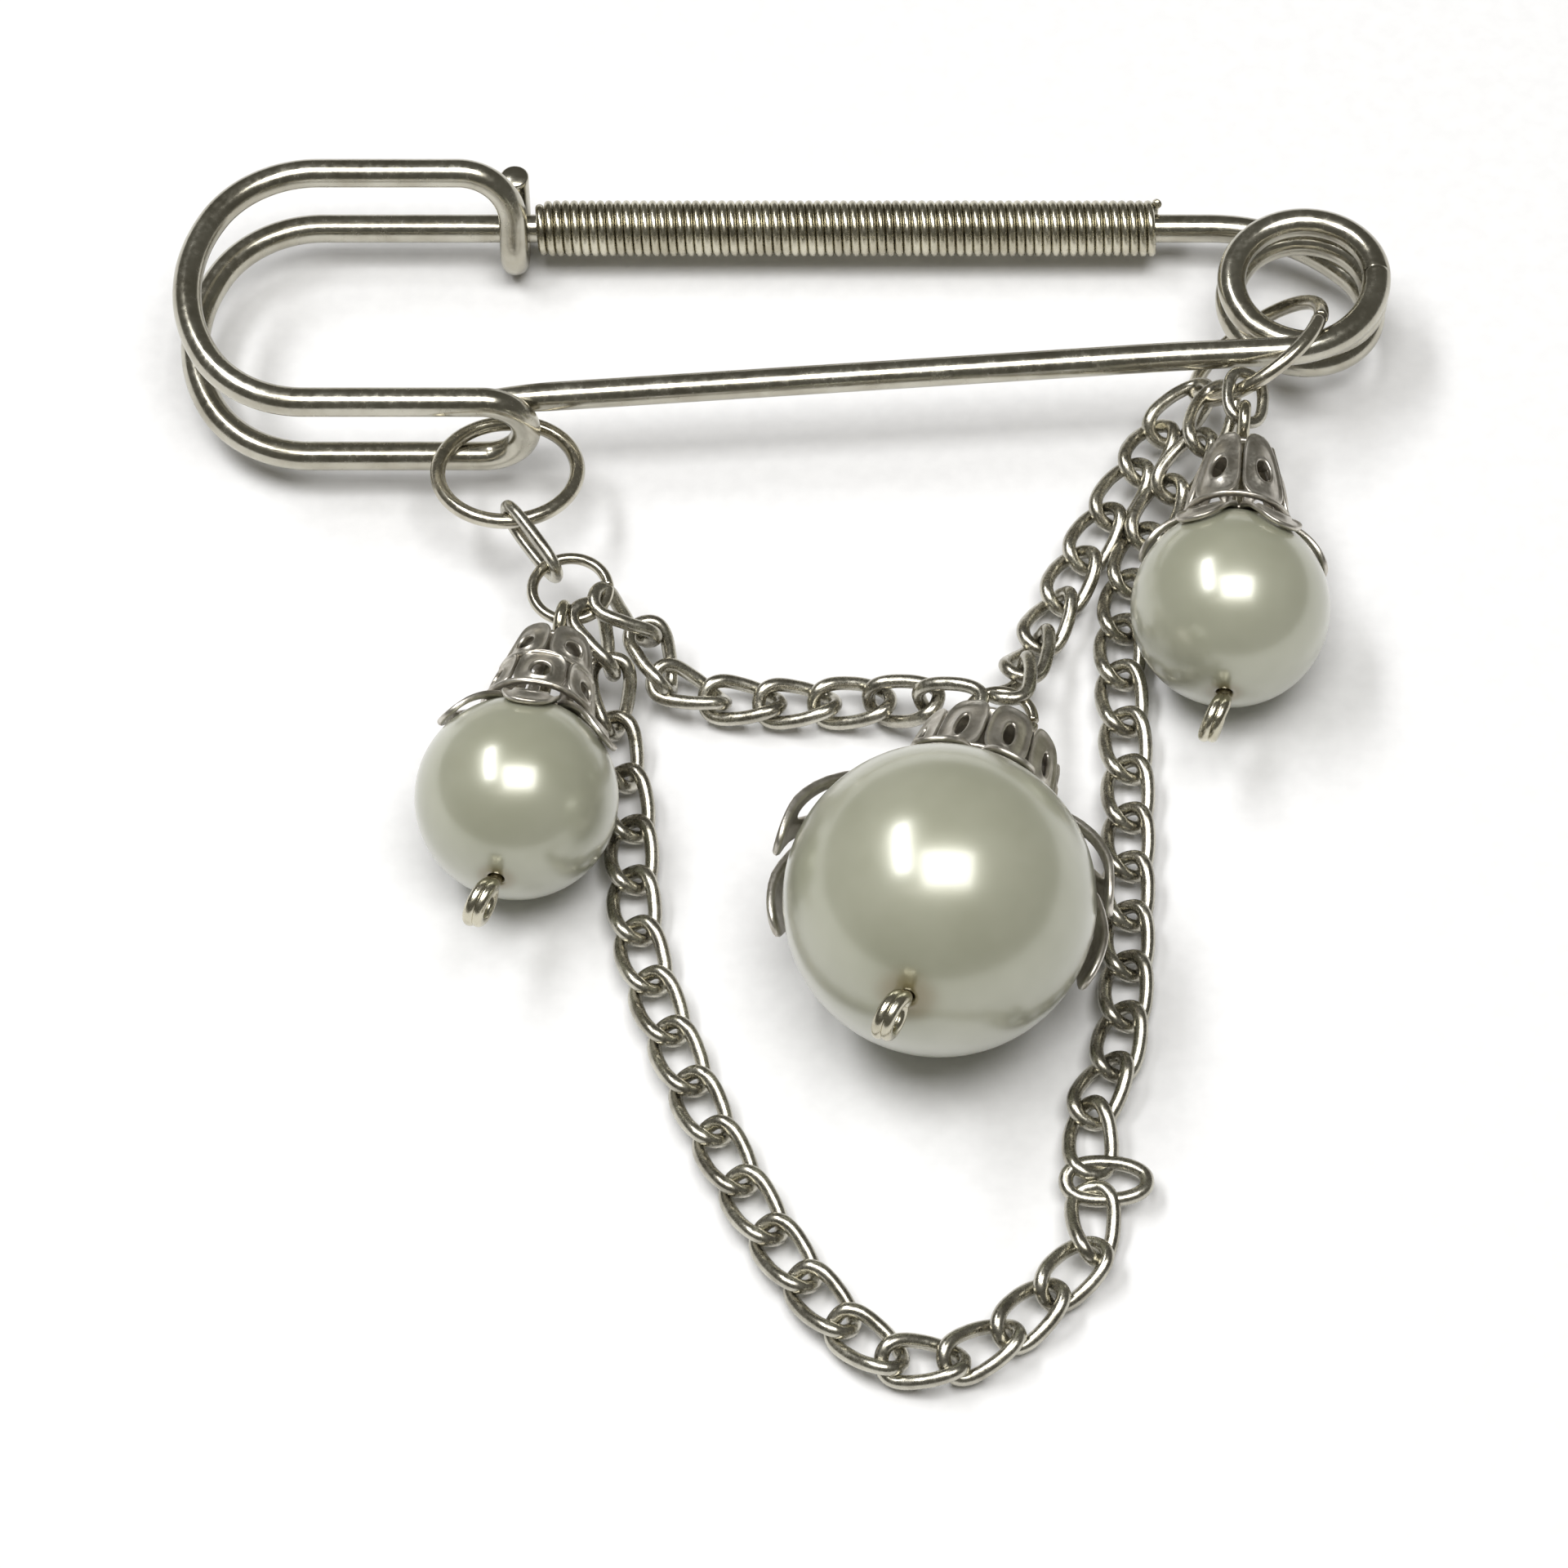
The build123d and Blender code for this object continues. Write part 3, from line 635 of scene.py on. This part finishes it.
def oval_line(centre, along, normal, length, width, wire, twist, squareness, count=72):
    """Centre line of an oval link; a twist leans its two ends opposite ways."""
    t = np.arange(count) * 2 * pi / count
    power = 2 / squareness
    x = (length - wire) / 2 * np.sign(np.cos(t)) * np.abs(np.cos(t)) ** power
    y = (width - wire) / 2 * np.sign(np.sin(t)) * np.abs(np.sin(t)) ** power
    z = twist * np.sin(2 * t)
    across = np.cross(normal, along)
    points = centre + x[:, None] * along + y[:, None] * across + z[:, None] * normal
    step = np.linalg.norm(np.diff(np.vstack([points, points[:1]]), axis=0), axis=1)
    run = np.append(0, np.cumsum(step))
    even = np.linspace(0, run[-1], count, endpoint=False)
    ring = np.vstack([points, points[:1]])
    return np.stack([np.interp(even, run, ring[:, k]) for k in range(3)], axis=1)


def build_connector(node):
    """A longer plain oval link between two wires."""
    centre, along, normal, length, width, wire = oval_of(loose_parts(node)[0])
    line = oval_line(centre, along, normal, length, width, wire, 0.0, 2.6)
    verts, faces = wire_mesh(line, wire / 2, closed=True, sides=18)
    make_piece(f"{node}_link", verts, faces, "swag", "chain_metal", node)


def chain_ovals(prefix):
    """A chain's links in order, as [node, centre, way, normal, sizes]."""
    links = []
    for node in sorted(n for n in frame["nodes"] if n.startswith(prefix)):
        found = [(node, *oval_of(part)) for part in loose_parts(node)]
        if len(found) > 1:
            near = links[-1][1] if links else np.array(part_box("left_hanger_ring")[0]) / MM
            found.sort(key=lambda link: np.linalg.norm(link[1] - near))
        links.extend(found)
    return links


def roll_of(normal, along):
    """Roll of a link about its way from lying flat, in degrees within a half turn."""
    level = unit(np.cross((0, 0, 1), along))
    up = np.cross(along, level)
    return (degrees(atan2(normal @ level, normal @ up)) + 90) % 180 - 90


def rolled_normal(along, roll):
    """The normal of a link turned about its way by a roll from lying flat."""
    level = unit(np.cross((0, 0, 1), along))
    up = np.cross(along, level)
    return up * cos(radians(roll)) + level * sin(radians(roll))


def half_turn(angle):
    """The same line's angle, within a quarter turn of flat."""
    return (angle + 90) % 180 - 90


def build_chain(prefix, spans):
    """Twisted curb links, each span a run hooked at both ends, with the rolls at its ends."""
    links = chain_ovals(prefix)
    lines = {}
    for first, last, start_roll, end_roll in spans:
        run = links[first:last]
        ways = []
        for i, link in enumerate(run):
            before = run[max(0, i - 1)][1]
            after = run[min(len(run) - 1, i + 1)][1]
            ways.append(link[2] if link[2] @ (after - before) > 0 else -link[2])
        if start_roll is None:
            start_roll = half_turn(roll_of(run[0][3], ways[0]) + LINK_LEAN)
        if end_roll is None:
            end_roll = half_turn(roll_of(run[-1][3], ways[-1]) - LINK_LEAN)
        for i, link in enumerate(run):
            fade_in = max(0, 1 - i / TWIST_LINKS)
            fade_out = max(0, 1 - (len(run) - 1 - i) / TWIST_LINKS)
            roll = start_roll * fade_in + end_roll * fade_out
            node, centre, _, _, length, width, wire = link
            line = oval_line(
                centre, ways[i], rolled_normal(ways[i], roll), length, width, wire,
                LINK_TWIST, LINK_SQUARENESS,
            )
            lines.setdefault(node, []).append((line, wire + LINK_FULLER))
    for i, link in enumerate(links):
        if not any(span[0] <= i < span[1] for span in spans):
            node, centre, along, normal, length, width, wire = link
            line = oval_line(
                centre, along, normal, length, width, wire, KINK_TWIST, LINK_SQUARENESS
            )
            lines.setdefault(node, []).append((line, wire + LINK_FULLER))
    for node, rounds in lines.items():
        parts = [wire_mesh(line, wire / 2, closed=True, sides=16) for line, wire in rounds]
        verts, faces = join_parts(parts)
        make_piece(f"{node}_curb", verts, faces, "swag", "chain_metal", node)
    return lines


# ---------------------------------------------------------------- the drops


def drop_plane(side):
    """Origin and axes of a drop in millimetres: Z towards its hook, X level."""
    low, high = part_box(f"pearl_{side}")
    centre = (Vector(low) + Vector(high)) / 2 / MM
    radius = (Vector(high).x - Vector(low).x) / 2 / MM
    pin = loose_parts(f"eye_pin_{side}")[0]
    _, _, axes = np.linalg.svd(pin - pin.mean(0), full_matrices=False)
    z_dir = Vector(axes[0])
    top = Vector(loose_parts(f"crown_{side}")[0].mean(0))
    if z_dir.dot(top - centre) < 0:
        z_dir = -z_dir
    x_dir = z_dir.cross(Vector((0, 0, 1))).normalized()
    return (centre, x_dir, z_dir.cross(x_dir), z_dir), radius


def build_pearl(side, plane, radius):
    """A drilled bead with softly broken hole edges."""
    edge = asin((PEARL_HOLE_R + 0.14) / radius)
    profile = [(PEARL_HOLE_R, h) for h in np.linspace(-radius * 0.93, radius * 0.93, 5)]
    profile.append((PEARL_HOLE_R + 0.03, radius * cos(edge) - 0.07))
    for angle in np.linspace(edge, pi - edge, 97):
        profile.append((radius * sin(angle), radius * cos(angle)))
    profile.append((PEARL_HOLE_R + 0.03, -radius * cos(edge) + 0.07))
    verts, faces = lathe(profile, plane, sides=128)
    bead = make_piece(f"pearl_bead_{side}", verts, faces, f"bead_{side}", "pearl", f"pearl_{side}")
    origin, _, _, z_dir = plane
    along = [(Vector(v.co) / MM - origin).normalized().dot(z_dir) for v in bead.data.vertices]
    off_axis = np.degrees(np.arccos(np.clip(np.abs(along), 0, 1)))
    near_hole = bead.data.attributes.new("near_hole", "FLOAT", "POINT")
    near_hole.data.foreach_set("value", 0.95 * np.exp(-((off_axis / STAIN_SPREAD) ** 4)))


def in_plane(plane, x, y, z):
    """A point of a plane, in millimetres."""
    origin, x_dir, y_dir, z_dir = plane
    return origin + x_dir * x + y_dir * y + z_dir * z


def build_eye_pin(side, plane, radius, eye_at):
    """Straight wire with a two-turn eye below the pearl and an open eye above."""
    low_eye = -(radius + EYE_STAND_OFF + EYE_R + PIN_R)
    local = []
    for i in range(72):
        left = 1 - i / 71
        angle = radians(90 + LOW_EYE_TURN * left)
        x = EYE_SPREAD * (1 - 2 * max(left, CROSSING)) * min(1, left / CROSSING)
        x -= EYE_SLANT * EYE_R * (1 - sin(angle))
        local.append((x, EYE_R * cos(angle), low_eye + EYE_R * sin(angle)))
    for i in range(30):
        local.append((0, 0, low_eye + EYE_R + 0.1 + (eye_at - low_eye - 2 * EYE_R - 0.45) * i / 29))
    for i in range(40):
        angle = radians(HIGH_EYE_FROM + HIGH_EYE_TURN * i / 39)
        local.append((0, EYE_R * cos(angle), eye_at + EYE_R * sin(angle)))
    points = np.array([tuple(in_plane(plane, *point)) for point in local])
    for _ in range(2):
        inner = (points[:-2] + 2 * points[1:-1] + points[2:]) / 4
        points = np.vstack([points[:1], inner, points[-1:]])
    verts, faces = wire_mesh(points, PIN_R - 0.03, sides=18)
    make_piece(f"eye_pin_wire_{side}", verts, faces, f"drop_{side}", "eye_pin_wire", f"eye_pin_{side}")


# Cross-section of a stamped plate from its outer edge (0) to its hole's edge (1), with the
# height above its middle: both edges carry a raised rim.
PLATE_SECTION = [
    (0.0, 0.02), (0.02, 0.14), (0.07, 0.2), (0.13, 0.17), (0.2, 0.06), (0.4, 0.04), (0.7, 0.05),
    (0.82, 0.14), (0.9, 0.18), (0.97, 0.13), (1.0, 0.0), (0.97, -0.1), (0.7, -0.12),
    (0.3, -0.12), (0.05, -0.1),
]


def plate(place, half_width, half_height, taper, hole, hole_at, square=2.4, count=44):
    """A leaf-shaped plate with a rimmed hole, laid on a surface by place(u, v, height)."""
    outline, opening = [], []
    power = 2 / square
    for i in range(count):
        t = 2 * pi * i / count
        c, s = cos(t), sin(t)
        u = abs(c) ** power * (1 if c > 0 else -1)
        v = abs(s) ** power * (1 if s > 0 else -1)
        outline.append((half_width * u * (1 + taper * v), half_height * v))
        opening.append((hole[0] * c, hole_at + hole[1] * s))
    verts, faces = [], []
    rows = len(PLATE_SECTION)
    for across, height in PLATE_SECTION:
        for (u0, v0), (u1, v1) in zip(outline, opening):
            point = place(u0 + (u1 - u0) * across, v0 + (v1 - v0) * across, height)
            verts.append(point * MM)
    for i in range(rows):
        j = (i + 1) % rows
        for k in range(count):
            m = (k + 1) % count
            faces.append((i * count + k, i * count + m, j * count + m, j * count + k))
    return verts, faces


def build_petal_cap(side, plane, radius, spec):
    """Flower cap that hugs the pearl: a small hub and leaf petals with rimmed holes."""
    shell = radius + CAP_GAP + 0.12
    inner = 1.6 / shell
    parts = []
    for i, (turned, limit, lift) in enumerate(spec["petals"]):
        around = radians(turned)
        reach = radians(limit)
        middle = (reach + inner) / 2
        half_height = shell * (reach - inner) / 2
        lift += 0.06 * (i % 2)

        def place(u, v, height, around=around, reach=reach, middle=middle, lift=lift):
            polar = middle + v / shell
            out = (polar - inner) / (reach - inner)
            rise = sin(pi / 2 * min(1, max(0, out / 0.8))) ** 2
            curl = 1 - 0.45 * max(0, (out - 0.8) / 0.2)
            stand = shell + height * (1 + 0.5 * lift) + lift * rise * curl
            angle = around + u / (shell * max(0.2, sin(polar)))
            x = stand * sin(polar) * cos(angle)
            y = stand * sin(polar) * sin(angle)
            return in_plane(plane, x, y, stand * cos(polar))

        hole = (spec["petal_width"] * 0.34, half_height * 0.36)
        parts.append(
            plate(place, spec["petal_width"] * 0.62, half_height, 0.12, hole, 0.12 * half_height)
        )
    hub = []
    for polar in np.linspace(0.5 / shell, 2.4 / shell, 8):
        hub.append(((shell + 0.12) * sin(polar), (shell + 0.12) * cos(polar)))
    for polar in np.linspace(2.4 / shell, 0.5 / shell, 8):
        hub.append(((shell - 0.1) * sin(polar), (shell - 0.1) * cos(polar)))
    parts.append(lathe(hub, plane, sides=48))
    verts, faces = join_parts(parts)
    body = f"drop_{side}"
    make_piece(f"petal_cap_plates_{side}", verts, faces, body, "cap_metal", f"petal_cap_{side}")


def crown_tier(plane, span, radii, count, phase, slot):
    """One ring of the collar: leaf plates side by side, each with a rimmed opening."""
    low, high = span
    r_low, r_mid, r_high = radii
    half = (high - low) / 2
    middle = (high + low) / 2
    room = pi * r_mid / count
    taper = (r_high - r_low) / (r_high + r_low)

    def wall(v):
        """Radius of the collar at a height from its middle."""
        s = v / half
        return r_mid + (r_high - r_low) / 2 * s + ((r_high + r_low) / 2 - r_mid) * s * s

    parts = []
    for i in range(count):
        around = 2 * pi * (i + phase) / count

        def place(u, v, height, around=around):
            radius = wall(v) + height
            angle = around + u / wall(v)
            return in_plane(plane, radius * cos(angle), radius * sin(angle), middle + v)

        hole = (room * slot, max(room * 0.36, half * (0.66 - slot)))
        parts.append(plate(place, room * 0.96, half * 0.98, taper, hole, -0.12 * half, 3.4))
    foot = [(r_low + 0.1, low + 0.1), (r_low + 0.22, low + 0.2), (r_low + 0.1, low + 0.42)]
    foot += [(r_low - 0.15, low + 0.4), (r_low - 0.2, low + 0.1)]
    parts.append(lathe(foot, plane, sides=48))
    return parts, wall(half * 0.7)


def build_crown(side, plane, spec):
    """Openwork collar of one or two tiers, closed by a small lid round the pin."""
    parts = []
    for span, radii, count, phase in spec["tiers"]:
        tier, lid_r = crown_tier(plane, span, radii, count, phase, spec["slot"])
        parts += tier
    top = spec["tiers"][-1][0][1] - 0.4
    lid_r -= 0.05
    lid = [(0.5, top), (lid_r * 0.6, top), (lid_r, top - 0.15)]
    lid += [(lid_r, top - 0.45), (lid_r * 0.6, top - 0.35), (0.5, top - 0.35)]
    parts.append(lathe(lid, plane, sides=48))
    verts, faces = join_parts(parts)
    make_piece(f"crown_plates_{side}", verts, faces, f"drop_{side}", "cap_metal", f"crown_{side}")


def build_drop(side, spec):
    """Pearl, eye pin, cap and crown of one drop."""
    plane, radius = drop_plane(side)
    build_pearl(side, plane, radius)
    build_eye_pin(side, plane, radius, spec["eye_at"])
    build_petal_cap(side, plane, radius, spec)
    build_crown(side, plane, spec)


# ---------------------------------------------------------------- stage


def build_floor():
    """Pale card under the brooch."""
    mesh = bpy.data.meshes.new("floor")
    half = FLOOR_HALF
    mesh.from_pydata(
        [(-half, -half, 0), (half, -half, 0), (half, half, 0), (-half, half, 0)], [], [(0, 1, 2, 3)]
    )
    mesh.materials.append(floor_material())
    floor = bpy.data.objects.new("floor", mesh)
    bpy.context.scene.collection.objects.link(floor)


def add_softbox(name, place, size, power, colour):
    """A rectangular light high above the brooch, facing straight down."""
    light = bpy.data.lights.new(name, "AREA")
    light.shape = "RECTANGLE"
    light.size, light.size_y = size
    light.energy = power
    light.color = colour
    holder = bpy.data.objects.new(name, light)
    holder.location = place
    bpy.context.scene.collection.objects.link(holder)


def build_lights():
    """A narrow softbox to the left, a wide one overhead, a thin strip, and a dim room."""
    for name, settings in SOFTBOXES.items():
        add_softbox(name, *settings)
    world = bpy.data.worlds.new("room")
    world.use_nodes = True
    world.node_tree.nodes["Background"].inputs["Color"].default_value = ROOM_COLOUR
    world.node_tree.nodes["Background"].inputs["Strength"].default_value = 1.0
    bpy.context.scene.world = world


def build_camera():
    """Long lens, straight on, looking down at the brooch."""
    camera = bpy.data.cameras.new("camera")
    camera.lens = CAMERA_LENS
    camera.sensor_width = CAMERA_SENSOR
    camera.clip_start = 0.01
    holder = bpy.data.objects.new("camera", camera)
    rise = radians(CAMERA_ELEVATION)
    holder.location = CAMERA_TARGET + CAMERA_DISTANCE * Vector((0, -cos(rise), sin(rise)))
    holder.rotation_euler = (pi / 2 - rise, 0, 0)
    bpy.context.scene.collection.objects.link(holder)
    bpy.context.scene.camera = holder


build_camera()
build_lights()
build_floor()
build_bar_and_catch()
build_spring()
build_needle()
build_sleeve()
for ring in ("left_jump_ring", "right_jump_ring", "left_hanger_ring", "centre_hanger_ring"):
    build_split_ring(ring)
for connector in ("left_connector", "right_connector"):
    build_connector(connector)
build_chain("upper_left_link", [(0, 8, None, None)])
build_chain("upper_right_link", [(0, 8, None, None)])
build_chain(
    "lower_chain_links",
    [(0, KINK_LINK, None, -KINK_ROLL), (KINK_LINK + 1, 37, KINK_ROLL, None)],
)
for side, spec in DROPS.items():
    build_drop(side, spec)

bpy.context.scene.view_settings.view_transform = "Standard"
